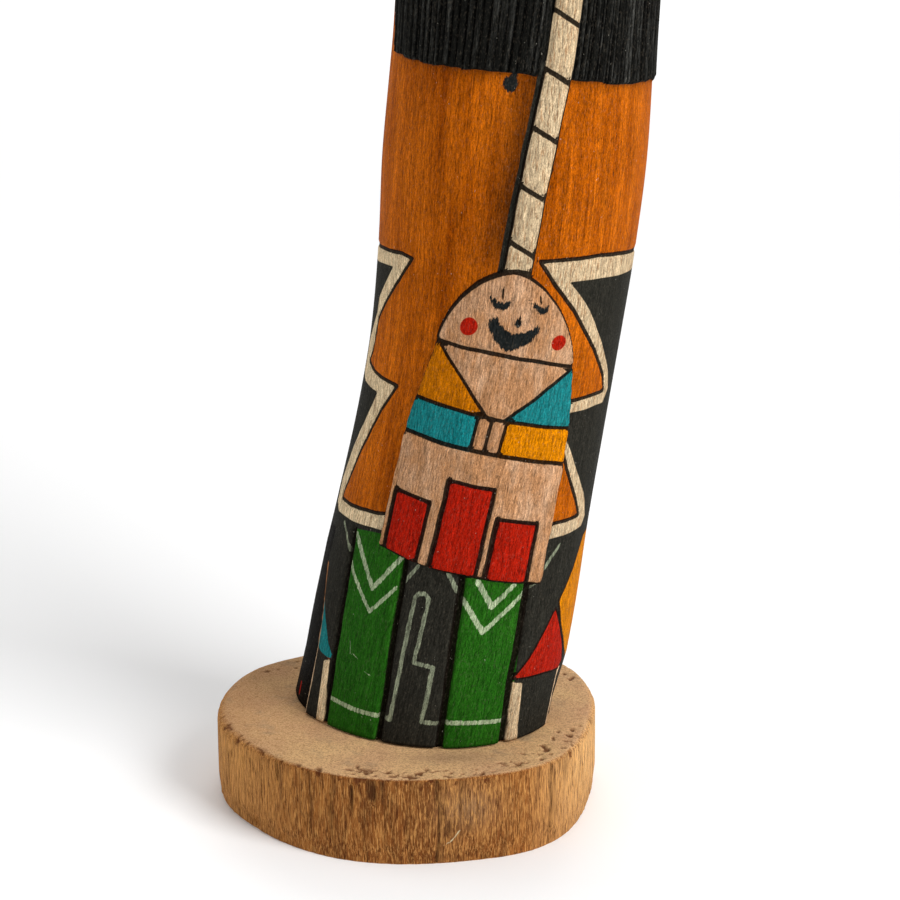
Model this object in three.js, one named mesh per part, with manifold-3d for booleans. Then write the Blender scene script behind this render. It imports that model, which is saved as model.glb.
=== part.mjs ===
// A doll carved from one length of root, standing on a round slice of root.
//
// Millimetres, +Z up. The origin is the centre of the base's underside. The doll's back, with the long
// hair, the rope and the little flat doll that hangs on it, faces -Y. Its face looks towards +Y.

import * as THREE from 'three';
import { mergeVertices } from 'three/addons/utils/BufferGeometryUtils.js';
import Module from 'manifold-3d';

const manifold = await Module();
manifold.setup();

// Driving dimensions of the base

const BASE_RADIUS = 38;
const BASE_THICKNESS = 17.4;
const BASE_UNDERCUT = 0.4; // how much smaller the underside is, on the radius
const BASE_EDGE = 1; // worn edge at the top and bottom
const BASE_SIDES = 56;

// Driving dimensions of the figure

const FIGURE_HEIGHT = 232; // from the foot to the top of the head, without the hair
const SEAT_GAP = 0.3; // between the base and the foot
const FOOT_X = 2.2; // the foot's centre, from the base's centre
const FOOT_Y = 3.4;
const BODY_SIDES = 52;

const HAIR_DEPTH = 1.1;
const STRAND_PITCH = 2;
const STRAND_CUT = 0.5; // depth of the cut between two strands

const ROPE_WIDTH = 5.2;
const ROPE_DEPTH = 1.3; // above the bare wood
const ROPE_OVER_HAIR = 0.8; // above the hair
const TWIST_PITCH = 10.4; // along the rope

const PANEL_DEPTH = 0.8; // the little flat doll
const MASK_DEPTH = 0.8;
const BEARD_DEPTH = 1.5;

const LINE_WIDTH = 1.0; // engraved outlines
const LINE_CUT = 0.5;
const SLOT_WIDTH = 1.5; // between the strips of the skirt
const SLOT_CUT = 1.1;

// The carving is drawn on the figure's unrolled surface, in units of 1/232 of its height: s runs round
// the body from -Y towards +X, and v runs up it from the foot.

const UNIT = FIGURE_HEIGHT / 232;
const WRAP_RADIUS = 25; // a turn of the body is this radius times 2 pi
const HALF_TURN = Math.PI * WRAP_RADIUS;

// A smooth curve through stations of [position, value], flat beyond its ends
function curveThrough(stations) {
  const last = stations.length - 1;
  const secant = (i) => (stations[i + 1][1] - stations[i][1]) / (stations[i + 1][0] - stations[i][0]);
  const slope = (i) => {
    if (i === 0) return secant(0);
    if (i === last) return secant(last - 1);
    return (secant(i - 1) + secant(i)) / 2;
  };
  return (position) => {
    const x = THREE.MathUtils.clamp(position, stations[0][0], stations[last][0]);
    let i = 0;
    while (i < last - 1 && x > stations[i + 1][0]) i += 1;
    const span = stations[i + 1][0] - stations[i][0];
    const t = (x - stations[i][0]) / span;
    const start = stations[i][1] * (1 + 2 * t) * (1 - t) ** 2 + slope(i) * span * t * (1 - t) ** 2;
    const end = stations[i + 1][1] * (3 - 2 * t) * t * t + slope(i + 1) * span * (t - 1) * t * t;
    return start + end;
  };
}

// The natural curve and girth of the root, by height

const CROWN_START = 208; // where the top of the head rounds over
const CROWN_WRAP = 34; // length of the rounding along the surface
const CROWN_RISE = 24;
const CROWN_FULLNESS = 0.85; // under 1 is squarer than a ball
const CROWN_END = 0.95; // share of the rounding that is left before the flat top
const BARREL_ROWS = 17;
const CROWN_ROWS = 7;

const leanX = curveThrough([[0, 0], [20, 4.1], [42, 8.4], [82, 15.3], [122, 18.7], [172, 21.2], [232, 22.8]]);
const leanY = curveThrough([[0, 0], [82, -0.4], [162, -1.2], [232, -1.4]]);
const girth = curveThrough([
  [0, 26.2], [20, 25.8], [42, 24.7], [72, 24.05], [92, 24.55], [110, 25.1], [132, 24.5], [148, 24.2],
  [168, 23], [190, 24.5], [208, 24],
]);
const oval = curveThrough([[0, 0.1], [42, 0.06], [92, 0.02], [150, 0]]);

// A point on the carved surface: lift is in millimetres, outwards
function onSurface(s, v, lift) {
  const angle = s / WRAP_RADIUS;
  const over = THREE.MathUtils.clamp((v - CROWN_START) / CROWN_WRAP, 0, 1) * (Math.PI / 2);
  const barrel = Math.min(v, CROWN_START);
  const level = girth(barrel) * (1 + oval(barrel) * Math.sin(2 * angle));
  const radius = UNIT * level * Math.cos(over) ** CROWN_FULLNESS + lift * Math.cos(over);
  const height = UNIT * (barrel + CROWN_RISE * Math.sin(over)) + lift * Math.sin(over);
  const middle = barrel + CROWN_RISE * Math.sin(over);
  return new THREE.Vector3(
    UNIT * leanX(middle) + radius * Math.sin(angle),
    UNIT * leanY(middle) - radius * Math.cos(angle),
    height,
  );
}

// A closed solid from corner points and triangles of their indices
function solidOf(points, triangles) {
  const geometry = new THREE.BufferGeometry().setFromPoints(points);
  geometry.setIndex(triangles.flat());
  const merged = mergeVertices(geometry, 1e-4);
  const index = merged.index.array;
  const kept = [];
  for (let i = 0; i < index.length; i += 3) {
    const [a, b, c] = index.slice(i, i + 3);
    if (a !== b && b !== c && c !== a) kept.push(a, b, c);
  }
  const mesh = new manifold.Mesh({
    numProp: 3,
    vertProperties: new Float32Array(merged.attributes.position.array),
    triVerts: new Uint32Array(kept),
  });
  return new manifold.Manifold(mesh);
}

function geometryOf(solid) {
  const mesh = solid.getMesh();
  const geometry = new THREE.BufferGeometry();
  geometry.setAttribute('position', new THREE.BufferAttribute(mesh.vertProperties, 3));
  geometry.setIndex(new THREE.BufferAttribute(mesh.triVerts, 1));
  geometry.computeVertexNormals();
  return geometry;
}

// Two triangles between the points a, b, c, d, which run anticlockwise seen from outside
function quad(a, b, c, d) {
  return [[a, b, c], [a, c, d]];
}

// A solid made of rings stacked from bottom to top, each with the same number of points
function stackOfRings(rings) {
  const sides = rings[0].length;
  const points = rings.flat();
  const triangles = [];
  for (let ring = 0; ring < rings.length - 1; ring += 1) {
    for (let side = 0; side < sides; side += 1) {
      const next = (side + 1) % sides;
      const low = ring * sides;
      const high = low + sides;
      triangles.push(...quad(low + side, low + next, high + next, high + side));
    }
  }
  const middleOf = (ring) => ring.reduce((sum, p) => sum.add(p), new THREE.Vector3()).divideScalar(sides);
  const foot = points.push(middleOf(rings[0])) - 1;
  const top = points.push(middleOf(rings[rings.length - 1])) - 1;
  const topRing = (rings.length - 1) * sides;
  for (let side = 0; side < sides; side += 1) {
    const next = (side + 1) % sides;
    triangles.push([foot, next, side], [top, topRing + side, topRing + next]);
  }
  return solidOf(points, triangles);
}

// Relief on the surface, with one row of points at each station. place(across, station, column) gives
// their [s, v, lift], where across runs from 0 to 1, and the relief's back lies sunk in the wood.
const SUNK = 1.5;

function relief(columns, stations, place) {
  const points = [];
  for (const side of ['face', 'back']) {
    for (const station of stations) {
      for (let column = 0; column <= columns; column += 1) {
        const [s, v, lift] = place(column / columns, station, column);
        points.push(onSurface(s, v, side === 'face' ? lift : -SUNK));
      }
    }
  }
  const rows = stations.length - 1;
  const width = columns + 1;
  const back = width * (rows + 1);
  const at = (column, row) => row * width + column;
  const triangles = [];
  for (let row = 0; row < rows; row += 1) {
    for (let column = 0; column < columns; column += 1) {
      const corners = [at(column, row), at(column + 1, row), at(column + 1, row + 1), at(column, row + 1)];
      triangles.push(...quad(...corners));
      triangles.push(...quad(...corners.map((corner) => corner + back).reverse()));
    }
    const [leftLow, leftHigh] = [at(0, row), at(0, row + 1)];
    const [rightLow, rightHigh] = [at(columns, row), at(columns, row + 1)];
    triangles.push(...quad(leftHigh, leftHigh + back, leftLow + back, leftLow));
    triangles.push(...quad(rightLow, rightLow + back, rightHigh + back, rightHigh));
  }
  for (let column = 0; column < columns; column += 1) {
    const [lowHere, lowNext] = [at(column, 0), at(column + 1, 0)];
    const [highHere, highNext] = [at(column, rows), at(column + 1, rows)];
    triangles.push(...quad(lowHere, lowHere + back, lowNext + back, lowNext));
    triangles.push(...quad(highNext, highNext + back, highHere + back, highHere));
  }
  return solidOf(points, triangles);
}

// A V-shaped cutter along a straight line on the unrolled surface, from a point [s, v] to another
const CUT_STEP = 5; // length of one straight stretch of a cutter
const CLEAR = 0.4; // how far a cutter stands out of the surface that it cuts

function groove([fromS, fromV], [toS, toV], width, cut, faceLift) {
  const length = Math.hypot(toS - fromS, toV - fromV);
  const steps = Math.max(1, Math.round(length / CUT_STEP));
  const half = (width / 2) * (1 + CLEAR / cut) / UNIT;
  const acrossS = (-(toV - fromV) / length) * half;
  const acrossV = ((toS - fromS) / length) * half;
  const rings = [];
  for (let step = 0; step <= steps; step += 1) {
    const s = THREE.MathUtils.lerp(fromS, toS, step / steps);
    const v = THREE.MathUtils.lerp(fromV, toV, step / steps);
    rings.push([
      onSurface(s - acrossS, v - acrossV, faceLift + CLEAR),
      onSurface(s, v, faceLift - cut),
      onSurface(s + acrossS, v + acrossV, faceLift + CLEAR),
    ]);
  }
  return stackOfRings(rings);
}

function steps(from, to, count) {
  return Array.from({ length: count + 1 }, (_, i) => THREE.MathUtils.lerp(from, to, i / count));
}

// The base: a slice of root with an uneven bark line, as [angle in degrees, offset from the radius]

const barkLine = curveThrough([
  [-210, 1.2], [-168, 0.6], [-145, -0.7], [-105, 0], [-75, 0.1], [-50, 1.7], [-12, -1.1], [12, 0.1],
  [34, 1.7], [90, -2], [130, -1.2], [150, 1.2], [192, 0.6],
]);

function makeBase() {
  const ringAt = (height, inset) => steps(-180, 180, BASE_SIDES).slice(0, -1).map((degrees) => {
    const radius = BASE_RADIUS + barkLine(degrees) - inset;
    const angle = THREE.MathUtils.degToRad(degrees);
    return new THREE.Vector3(radius * Math.cos(angle), radius * Math.sin(angle), height);
  });
  return stackOfRings([
    ringAt(0, BASE_UNDERCUT + BASE_EDGE),
    ringAt(BASE_EDGE, BASE_UNDERCUT),
    ringAt(BASE_THICKNESS / 2, 0),
    ringAt(BASE_THICKNESS - BASE_EDGE, 0),
    ringAt(BASE_THICKNESS - BASE_EDGE / 3, BASE_EDGE / 3),
    ringAt(BASE_THICKNESS, BASE_EDGE),
  ]);
}

// The root itself, from its foot to the crown

function makeBody() {
  const barrelRows = steps(0, CROWN_START, BARREL_ROWS);
  const crownRows = steps(CROWN_START, CROWN_START + CROWN_WRAP * CROWN_END, CROWN_ROWS).slice(1);
  return stackOfRings([...barrelRows, ...crownRows].map((v) => (
    steps(-HALF_TURN, HALF_TURN, BODY_SIDES).slice(0, -1).map((s) => onSurface(s, v, 0))
  )));
}

// Hair, a fringe and a beard, cut in strands: the relief's columns are a ridge and a cut by turns

const HAIR_LEFT = -33;
const HAIR_RIGHT = 47;
const HAIR_END = 0.92; // share of the crown's rounding that the hair covers
const HAIR_TOP = CROWN_START + CROWN_WRAP * HAIR_END;
const HAIR_CUT = 128.4; // where the long hair is cut off, in the middle of the back
const HAIR_CUT_SLOPE = 0.08;
const FRONT = (HAIR_LEFT + HAIR_RIGHT) / 2 + HALF_TURN; // the middle of the face
const TUCK = 1; // how far one carved layer runs on under the next
const BROW = 203; // lower edge of the fringe
const FRINGE_DEPTH = (MASK_DEPTH + HAIR_DEPTH) / 2;
const CHIN = 171; // lower edge of the mask
const BEARD_HALF_WIDTH = 12;
const BEARD_LENGTH = 25;
const BEARD_ROUNDING = 0.25; // how much shorter it is at its sides, as a share of its length

const hairEdge = (s) => HAIR_CUT - HAIR_CUT_SLOPE * s;
const beardEdge = (s) => CHIN - BEARD_LENGTH * (1 - BEARD_ROUNDING * ((s - FRONT) / BEARD_HALF_WIDTH) ** 2);

function strands(left, right, shares, edge, top, depth) {
  const pairs = Math.round((right - left) * UNIT / STRAND_PITCH);
  return relief(pairs * 2, shares, (across, share, column) => {
    const s = THREE.MathUtils.lerp(left, right, across);
    const v = THREE.MathUtils.lerp(edge(s), top, share);
    return [s, v, column % 2 ? depth : depth - STRAND_CUT];
  });
}

function makeHair() {
  const shares = [...steps(0, 0.7, 5), ...steps(0.78, 1, 4)];
  return strands(HAIR_LEFT, HAIR_RIGHT, shares, hairEdge, HAIR_TOP, HAIR_DEPTH);
}

function makeFringe() {
  const right = HAIR_LEFT + 2 * HALF_TURN;
  return strands(HAIR_RIGHT - TUCK, right + TUCK, steps(0, 1, 5), () => BROW, HAIR_TOP, FRINGE_DEPTH);
}

function makeBeard() {
  const [left, right] = [FRONT - BEARD_HALF_WIDTH, FRONT + BEARD_HALF_WIDTH];
  return strands(left, right, steps(0, 1, 4), beardEdge, CHIN + TUCK, BEARD_DEPTH);
}

// The mask in front, with two narrow eyes and a mouth

const EYE_HEIGHT = 191;
const EYE_NEAR = 5;
const EYE_FAR = 13;
const EYE_OPENING = 2.4;
const MOUTH_HEIGHT = 179;
const MOUTH_HALF_WIDTH = 3.5;

function makeMask() {
  const left = HAIR_RIGHT - TUCK;
  const right = HAIR_LEFT + 2 * HALF_TURN + TUCK;
  return relief(16, steps(CHIN, BROW + TUCK, 4), (across, v) => (
    [THREE.MathUtils.lerp(left, right, across), v, MASK_DEPTH]
  ));
}

function faceCuts() {
  const cut = (from, to, height) => groove([from, height], [to, height], EYE_OPENING, LINE_CUT, MASK_DEPTH);
  return [
    cut(FRONT - EYE_FAR, FRONT - EYE_NEAR, EYE_HEIGHT),
    cut(FRONT + EYE_NEAR, FRONT + EYE_FAR, EYE_HEIGHT),
    cut(FRONT - MOUTH_HALF_WIDTH, FRONT + MOUTH_HALF_WIDTH, MOUTH_HEIGHT),
  ];
}

// The little flat doll, in its own frame: u across from its middle line, w up from its lower edge. Its
// rows slant, because they are square to the leaning root.

const PANEL_FOOT = 34.9;
const PANEL_SLANT = 0.19;
const PANEL_BELT_LOW = 23.2;
const PANEL_BELT_HIGH = 30.1;
const PANEL_CHIN = 41.7;
const PANEL_HEIGHT = 57.8;
const HEAD_POWER = 1.6; // 2 would be a true ellipse

const panelMiddle = curveThrough([[0, -0.9], [23, 0], [41.7, 1.2], [57.8, 1.4]]);
const panelSide = curveThrough([[0, 17.1], [23, 16.8], [30.1, 16.1], [41.7, 13.8]]);

function onPanel(u, w) {
  return [panelMiddle(w) + u, PANEL_FOOT + w - PANEL_SLANT * u];
}

function panelHalfWidth(w) {
  const share = THREE.MathUtils.clamp((w - PANEL_CHIN) / (PANEL_HEIGHT - PANEL_CHIN), 0, 1);
  return panelSide(w) * (1 - share ** HEAD_POWER) ** (1 / HEAD_POWER);
}

function makePanel() {
  const bodyRows = steps(0, PANEL_CHIN, 9);
  const headRows = steps(0, Math.PI / 2, 6).slice(1).map((turn) => (
    PANEL_CHIN + (PANEL_HEIGHT - PANEL_CHIN) * Math.sin(turn) ** (2 / HEAD_POWER)
  ));
  return relief(8, [...bodyRows, ...headRows], (across, w) => (
    [...onPanel((2 * across - 1) * panelHalfWidth(w), w), PANEL_DEPTH]
  ));
}

// Engraved lines on the little doll: its chin, collar and belt, and three bars at its hem, each bar as
// [left, right, top] in the panel's frame
const HEM_BARS = [[-15.6, -7.6, 11.9], [-4.8, 4.2, 17.1], [5.9, 13.8, 11.7]];
const COLLAR = [[-13.3, PANEL_CHIN], [-0.7, PANEL_BELT_HIGH], [2.7, PANEL_BELT_HIGH], [13.8, PANEL_CHIN]];
const BELT_TIES = [-2.2, 0.5, 3.3];

function panelCuts() {
  const line = (from, to) => groove(onPanel(...from), onPanel(...to), LINE_WIDTH, LINE_CUT, PANEL_DEPTH);
  const fullRow = (w) => line([-panelHalfWidth(w) - TUCK, w], [panelHalfWidth(w) + TUCK, w]);
  const bars = HEM_BARS.flatMap(([left, right, top]) => [
    line([left, -TUCK], [left, top]),
    line([right, -TUCK], [right, top]),
    line([left, top], [right, top]),
  ]);
  return [
    fullRow(PANEL_CHIN),
    fullRow(PANEL_BELT_HIGH),
    fullRow(PANEL_BELT_LOW),
    line(COLLAR[0], COLLAR[1]),
    line(COLLAR[2], COLLAR[3]),
    ...BELT_TIES.map((u) => line([u, PANEL_BELT_LOW], [u, PANEL_BELT_HIGH])),
    ...bars,
  ];
}

// The rope, from under the little doll's head up to the knot on the crown

const KNOT_RADIUS = 5.5;
const KNOT_TOP_RADIUS = 3.3;
const ROPE_TUCK = 2; // how far it runs on under the head
const ROPE_FOOT = PANEL_FOOT + PANEL_HEIGHT - ROPE_TUCK;
const ROPE_ROUNDING = [0.7, 0.95, 1, 0.95, 0.7]; // share of its depth, across the rope
const TWIST_DROP = 2.8; // how far one turn of the twist falls across the rope
const TWIST_START = 0.6; // turns from the rope's foot to the first cut

const ropeMiddle = curveThrough([[91, 1.3], [109, 3], [119, 4.3], [130, 5.9], [142, 6.9], [160, 7.5]]);
const ropeLift = curveThrough([[125, ROPE_DEPTH], [130, HAIR_DEPTH + ROPE_OVER_HAIR]]);

function makeRope() {
  const rows = [...steps(ROPE_FOOT, CROWN_START, 18), ...steps(CROWN_START, HAIR_TOP, 5).slice(1)];
  return relief(ROPE_ROUNDING.length - 1, rows, (across, v, column) => {
    const s = ropeMiddle(v) + (across - 0.5) * ROPE_WIDTH / UNIT;
    return [s, v, ropeLift(v) * ROPE_ROUNDING[column]];
  });
}

function ropeCuts() {
  const first = ROPE_FOOT + TWIST_START * TWIST_PITCH / UNIT;
  const count = Math.floor((CROWN_START - first) * UNIT / TWIST_PITCH);
  const half = ROPE_WIDTH / UNIT / 2 + TUCK;
  return steps(first, first + count * TWIST_PITCH / UNIT, count).map((v) => groove(
    [ropeMiddle(v) - half, v + TWIST_DROP / 2],
    [ropeMiddle(v) + half, v - TWIST_DROP / 2],
    LINE_WIDTH,
    LINE_CUT,
    ropeLift(v),
  ));
}

function makeKnot() {
  const middle = onSurface(0, CROWN_START + CROWN_WRAP, 0);
  const top = HAIR_DEPTH + ROPE_OVER_HAIR;
  const ringAt = (height, radius) => steps(0, 2 * Math.PI, 16).slice(0, -1).map((angle) => (
    new THREE.Vector3(middle.x + radius * Math.cos(angle), middle.y + radius * Math.sin(angle), height)
  ));
  return stackOfRings([
    ringAt(middle.z - SUNK, KNOT_RADIUS),
    ringAt(middle.z + top / 2, KNOT_RADIUS),
    ringAt(middle.z + top, KNOT_TOP_RADIUS),
  ]);
}

// Slots between the strips of the skirt, each from its lower to its upper end
const SKIRT_SLOTS = [
  [[-23, -1], [-26.4, 39]],
  [[-8.5, -1], [-11, 36]],
  [[3.3, -1], [1.1, 34]],
  [[15.5, -1], [13.7, 32]],
];
const SIDE_SLOTS = [
  [[-33, -1], [-34, 28]],
  [[29, -1], [31, 14]],
];

function skirtCuts() {
  return [...SKIRT_SLOTS, ...SIDE_SLOTS].map(([low, high]) => groove(low, high, SLOT_WIDTH, SLOT_CUT, 0));
}

function makeFigure() {
  const layers = [makeHair(), makeFringe(), makeBeard(), makeMask(), makePanel(), makeRope(), makeKnot()];
  const carved = layers.reduce((whole, layer) => whole.add(layer), makeBody());
  const cuts = [...faceCuts(), ...panelCuts(), ...ropeCuts(), ...skirtCuts()];
  return cuts.reduce((whole, cut) => whole.subtract(cut), carved);
}

// Materials

const stainedWood = new THREE.MeshStandardMaterial({ color: 0xb8641f, roughness: 0.55, metalness: 0 });
const bareRoot = new THREE.MeshStandardMaterial({ color: 0xb88a58, roughness: 0.85, metalness: 0 });

// The doll

const base = new THREE.Mesh(geometryOf(makeBase()), bareRoot);
base.name = 'base';

const figure = new THREE.Mesh(geometryOf(makeFigure()), stainedWood);
figure.name = 'figure';
figure.position.set(FOOT_X, FOOT_Y, BASE_THICKNESS + SEAT_GAP);

const doll = new THREE.Group();
doll.add(base, figure);

export default doll;
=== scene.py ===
# A carved and painted doll on a slice of root: its looks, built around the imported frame.
#
# Objects are in metres. The carving and the paint are drawn in millimetres on the figure's unrolled
# surface: s runs round the body from -Y towards +X, and v runs up it from the foot.

import math

import bpy
import numpy as np
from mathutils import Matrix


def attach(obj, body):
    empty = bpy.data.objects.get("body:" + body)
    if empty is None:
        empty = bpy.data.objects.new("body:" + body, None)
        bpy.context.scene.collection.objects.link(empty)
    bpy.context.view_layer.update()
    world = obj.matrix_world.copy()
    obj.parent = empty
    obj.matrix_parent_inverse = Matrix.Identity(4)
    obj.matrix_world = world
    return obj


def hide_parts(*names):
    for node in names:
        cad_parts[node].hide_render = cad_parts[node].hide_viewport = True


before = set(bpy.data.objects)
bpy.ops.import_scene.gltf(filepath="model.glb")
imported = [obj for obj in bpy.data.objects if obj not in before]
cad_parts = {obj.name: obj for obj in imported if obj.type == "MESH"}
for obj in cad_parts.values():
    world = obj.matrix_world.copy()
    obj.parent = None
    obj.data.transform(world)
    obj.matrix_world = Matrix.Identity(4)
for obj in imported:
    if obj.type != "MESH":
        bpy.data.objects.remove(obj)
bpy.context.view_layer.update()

MM = 0.001
SEED = 11

# The figure's place on the base

FOOT = np.array([2.2, 3.4, 17.7])

# The unrolled surface

WRAP_RADIUS = 25.0
TURN = 2 * math.pi * WRAP_RADIUS
CROWN_START = 208.0
CROWN_WRAP = 34.0
CROWN_RISE = 24.0
CROWN_FULLNESS = 0.85
TOP_SHARE = 0.985

# Carving depths

HAIR_DEPTH = 1.1
STRAND_CUT = 0.8
FRINGE_DEPTH = 0.95
BEARD_DEPTH = 1.4
MASK_DEPTH = 0.8
ROPE_DEPTH = 1.3
ROPE_OVER_HAIR = 0.8
PANEL_DEPTH = 0.8
LINE_CUT = 0.3
TWIST_CUT = LINE_CUT * 1.5
SLOT_CUT = 1.0
OPENING_CUT = 0.5
STEP_DEPTH = 1.0
KNIFE_DEPTH = 0.05
SCRAPE_DEPTH = 0.03

# Places and widths on the surface

HAIR_LEFT = -33.0
HAIR_RIGHT = 47.0
HAIR_RAGGED = 0.2
FRINGE_RAGGED = 0.3
FRONT = (HAIR_LEFT + HAIR_RIGHT) / 2 + TURN / 2
BROW = 203.0
EYE_LEVEL = 191.0
MOUTH_LEVEL = 179.0
CHIN = 171.0
MASK_HALF = 39.5
BEARD_HALF = 12.0
BEARD_LENGTH = 25.0
ROBE_FOOT = 41.0
SKIRT_HALF = 20.0
SKIRT_TOP = 40.0
SKIRT_LEAN = 2.2
SLOT_TOP = 39.8
FLAP_SHADE_LEFT = -47.0
FLAP_SHADE_TOP = 37.0
PANEL_FOOT = 34.9
PANEL_SLANT = 0.19
PANEL_BELT_LOW = 23.2
PANEL_BELT_HIGH = 30.1
PANEL_CHIN = 41.7
PANEL_HEIGHT = 57.8
HEAD_POWER = 1.6
BELT_BARS = (-2.2, 0.5, 3.3)
ROPE_WIDTH = 5.2
ROPE_FOOT = 90.0
ROPE_TOP = CROWN_START + CROWN_WRAP * 0.92
ROPE_UNDER_HAIR = 129.0
SHADE_FOOT = 92.0
SHADE_TOP = 131.0
TWIST_FIRST = 97.0
TWIST_PITCH = 10.4
TWIST_DROP = 3.5
TWIST_COUNT = 12
DROP = (-2.6, 126.8)

# The base

BASE_RADIUS = 38.0
BASE_THICKNESS = 17.4
BASE_UNDERCUT = 0.4
MAIN_CRACK = -81.3
SMALL_CRACKS = (-97, -120, -47, 20, 75, 130)

rng = np.random.default_rng(SEED)


# Curves, noise and distances

def curve_through(*stations):
    """A smooth curve through (position, value) stations, flat beyond its ends."""
    at, value = np.array(stations, float).T
    secant = np.diff(value) / np.diff(at)
    slope = np.concatenate([secant[:1], (secant[1:] + secant[:-1]) / 2, secant[-1:]])

    def curve(position):
        x = np.clip(position, at[0], at[-1])
        i = np.clip(np.searchsorted(at, x, side="right") - 1, 0, len(at) - 2)
        span = at[i + 1] - at[i]
        t = (x - at[i]) / span
        start = value[i] * (1 + 2 * t) * (1 - t) ** 2 + slope[i] * span * t * (1 - t) ** 2
        end = value[i + 1] * (3 - 2 * t) * t ** 2 + slope[i + 1] * span * (t - 1) * t ** 2
        return start + end

    return curve


def smooth(x):
    t = np.clip(x, 0, 1)
    return t * t * (3 - 2 * t)


def rough(across, along, cell_across, cell_along, turn=TURN):
    """Smooth random values from -1 to 1, in cells of that size, which meet themselves after a turn."""
    columns = max(4, round(turn / cell_across))
    rows = int((along.max() - along.min()) / cell_along) + 3
    values = rng.uniform(-1, 1, (columns, rows))
    x = across / turn * columns
    y = (along - along.min()) / cell_along
    i = np.floor(x).astype(int)
    j = np.floor(y).astype(int)
    fx = smooth(x - i)
    fy = smooth(y - j)
    left, right = i % columns, (i + 1) % columns
    low = values[left, j] * (1 - fx) + values[right, j] * fx
    high = values[left, j + 1] * (1 - fx) + values[right, j + 1] * fx
    return low * (1 - fy) + high * fy


def from_segment(x, y, a, b):
    """The distance of points from the straight line between a and b."""
    along = (b[0] - a[0], b[1] - a[1])
    length = along[0] ** 2 + along[1] ** 2
    t = np.clip(((x - a[0]) * along[0] + (y - a[1]) * along[1]) / length, 0, 1)
    return np.hypot(x - a[0] - t * along[0], y - a[1] - t * along[1])


def across_path(x, y, *points):
    """The distance from a path through the points, below zero on its right."""
    nearest = np.full(x.shape, np.inf)
    side = np.ones(x.shape)
    for a, b in zip(points, points[1:]):
        gap = from_segment(x, y, a, b)
        turn = (b[0] - a[0]) * (y - a[1]) - (b[1] - a[1]) * (x - a[0])
        side = np.where(gap < nearest, np.sign(turn), side)
        nearest = np.minimum(nearest, gap)
    return nearest * side


def stroke(x, y, width, *points):
    """How deep a point lies inside a brush stroke through the points."""
    nearest = np.min([from_segment(x, y, a, b) for a, b in zip(points, points[1:])], axis=0)
    return width / 2 - nearest


def polygon(x, y, *points):
    """How deep a point lies inside a polygon, below zero outside."""
    nearest = np.full(x.shape, np.inf)
    inside = np.zeros(x.shape, bool)
    for a, b in zip(points, points[1:] + points[:1]):
        nearest = np.minimum(nearest, from_segment(x, y, a, b))
        if a[1] != b[1]:
            crosses = (a[1] > y) != (b[1] > y)
            inside ^= crosses & (x < a[0] + (y - a[1]) / (b[1] - a[1]) * (b[0] - a[0]))
    return np.where(inside, nearest, -nearest)


def disc(x, y, radius, centre):
    return radius - np.hypot(x - centre[0], y - centre[1])


def spot(x, y, centre, size):
    """A soft patch: 1 at its centre, and fading out over its size across and up."""
    return np.exp(-((x - centre[0]) / size[0]) ** 2 - ((y - centre[1]) / size[1]) ** 2)


def around(value, centre):
    """The same place on the surface, counted from a centre: from minus to plus half a turn."""
    return (value - centre + TURN / 2) % TURN - TURN / 2


# The figure's natural shape

lean_x = curve_through((0, 0), (20, 4.1), (42, 8.4), (82, 15.3), (122, 18.7), (172, 21.2), (232, 22.8))
lean_y = curve_through((0, 0), (82, -0.4), (162, -1.2), (232, -1.4))
girth = curve_through((0, 26.2), (20, 25.8), (42, 24.7), (72, 24.05), (92, 24.55), (110, 25.1),
                      (132, 24.5), (148, 24.2), (168, 23), (190, 24.5), (208, 24))
oval = curve_through((0, 0.1), (42, 0.06), (92, 0.02), (150, 0))
row_slant = curve_through((0, 0), (30, 0.19), (78, 0.18), (100, 0.13), (128, 0.08), (170, 0.02), (200, 0))
rope_middle = curve_through((91, 1.3), (109, 3), (119, 4.3), (130, 5.9), (142, 6.9), (160, 7.5))
panel_middle = curve_through((0, -0.9), (23, 0), (41.7, 1.2), (57.8, 1.4))
panel_side = curve_through((0, 17.1), (23, 16.8), (30.1, 16.1), (41.7, 13.8))


def on_surface(s, v, lift):
    """Points of the figure, in millimetres."""
    angle = s / WRAP_RADIUS
    over = np.clip((v - CROWN_START) / CROWN_WRAP, 0, 1) * math.pi / 2
    barrel = np.minimum(v, CROWN_START)
    level = girth(barrel) * (1 + oval(barrel) * np.sin(2 * angle))
    radius = level * np.cos(over) ** CROWN_FULLNESS + lift * np.cos(over)
    middle = barrel + CROWN_RISE * np.sin(over)
    height = middle + lift * np.sin(over)
    x = lean_x(middle) + radius * np.sin(angle)
    y = lean_y(middle) - radius * np.cos(angle)
    return np.stack([x, y, height], axis=-1) + FOOT


# The figure's grid: fine columns and rows on the side that carries the little doll

FINE_COLUMN = 0.4
COARSE_COLUMN = 0.76
FINE_HALF = 42.0
FINE_ROW = 0.6
COARSE_ROW = 1.4
FINE_TOP = 146.0
TOP_ROW = CROWN_START + CROWN_WRAP * TOP_SHARE
ROPE_PULL = 30.0
LEAN_TOP = 39.0

fine_columns = np.arange(-FINE_HALF, FINE_HALF, FINE_COLUMN)
coarse_count = round((TURN - 2 * FINE_HALF) / COARSE_COLUMN)
coarse_columns = np.linspace(FINE_HALF, TURN - FINE_HALF, coarse_count, endpoint=False)
columns = np.concatenate([fine_columns, coarse_columns])
rows = np.concatenate([np.arange(0, FINE_TOP, FINE_ROW),
                       np.linspace(FINE_TOP, TOP_ROW, round((TOP_ROW - FINE_TOP) / COARSE_ROW))])
column, row = np.meshgrid(columns, rows)

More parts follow.
